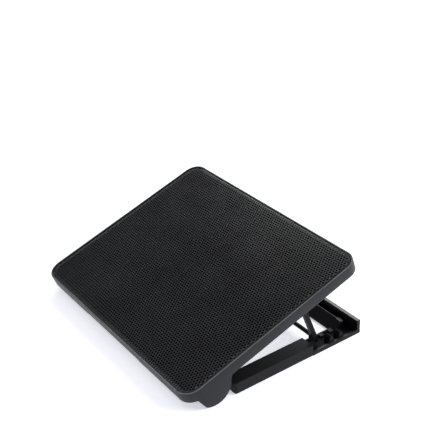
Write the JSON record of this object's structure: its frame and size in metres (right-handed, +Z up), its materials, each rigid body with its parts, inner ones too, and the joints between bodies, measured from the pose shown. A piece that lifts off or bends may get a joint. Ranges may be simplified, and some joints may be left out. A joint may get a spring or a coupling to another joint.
{
  "type": "laptop cooling pad",
  "caption": "Sloping perforated deck with built-in fans, propped on a hinged open base frame by a fold-down bail that rests in toothed racks.",
  "frame": {"origin": "middle of the footprint, on the surface the stand rests on", "axes": "+X to the right along the width, +Y to the rear (the raised edge), +Z up"},
  "size_m": [0.344, 0.2579, 0.1089],
  "materials": {
    "case_plastic": "matte charcoal moulded plastic, fine spark texture",
    "cover_plastic": "matte black moulded plastic",
    "base_plastic": "matte black moulded plastic, fine texture",
    "black_plastic": "black plastic, semi matte",
    "bail_plastic": "black plastic, satin",
    "rotor_plastic": "dark grey plastic, satin",
    "mesh_metal": "black powder coated perforated sheet",
    "steel": "plated steel",
    "copper": "wound copper wire",
    "board": "green solder mask",
    "rubber": "soft matte rubber"
  },
  "bodies": {
    "base": {"base_frame": "base_plastic", "arm_casing_left": "base_plastic", "arm_casing_right": "base_plastic", "hinge_pin_left": "steel", "hinge_pin_right": "steel", "foot_front_left": "rubber", "foot_front_right": "rubber", "foot_rear_left": "rubber", "foot_rear_right": "rubber"},
    "deck": {"case_rim": "case_plastic", "deck_plate": "mesh_metal", "bottom_cover": "cover_plastic", "fan_frame_left": "black_plastic", "fan_frame_right": "black_plastic", "fan_motor_left": "copper", "fan_motor_right": "copper", "control_board": "board", "usb_socket_inner": "steel", "usb_socket_outer": "steel", "speed_regulator": "steel", "bail_bracket_left": "black_plastic", "bail_bracket_right": "black_plastic", "cover_screw_1": "steel", "cover_screw_2": "steel", "cover_screw_3": "steel", "cover_screw_4": "steel", "cover_screw_5": "steel", "cover_screw_6": "steel", "fan_screw_1": "steel", "fan_screw_2": "steel", "fan_screw_3": "steel", "fan_screw_4": "steel", "fan_screw_5": "steel", "fan_screw_6": "steel", "fan_screw_7": "steel", "fan_screw_8": "steel", "bracket_screw_1": "steel", "bracket_screw_2": "steel", "bracket_screw_3": "steel", "bracket_screw_4": "steel"},
    "bail": {"bail": "bail_plastic"},
    "rotor_left": {"fan_rotor_left": "rotor_plastic"},
    "rotor_right": {"fan_rotor_right": "rotor_plastic"},
    "dial": {"speed_dial": "black_plastic"}
  },
  "joints": [
    {"name": "deck_tilt", "type": "hinge", "parent": "base", "child": "deck", "pos_m": [0, -0.09089, 0.0235], "axis": [1, 0, 0], "range_deg": [-18, 0]},
    {"name": "bail_swing", "type": "hinge", "parent": "deck", "child": "bail", "pos_m": [0, 0.04902, 0.06538], "axis": [1, 0, 0], "range_deg": [-0.5, 88.99]},
    {"name": "fan_spin_left", "type": "hinge", "parent": "deck", "child": "rotor_left", "pos_m": [-0.075, -0.01727, 0.05583], "axis": [0, -0.309, 0.9511], "continuous": true},
    {"name": "fan_spin_right", "type": "hinge", "parent": "deck", "child": "rotor_right", "pos_m": [0.075, -0.01727, 0.05583], "axis": [0, -0.309, 0.9511], "continuous": true},
    {"name": "speed_dial_turn", "type": "hinge", "parent": "deck", "child": "dial", "pos_m": [0.107, 0.12015, 0.10048], "axis": [0, -0.309, 0.9511], "range_deg": [0, 270]}
  ],
  "couplings": [
    {"joint": "bail_swing", "follows": "deck_tilt", "ratio": -4.9161}
  ]
}
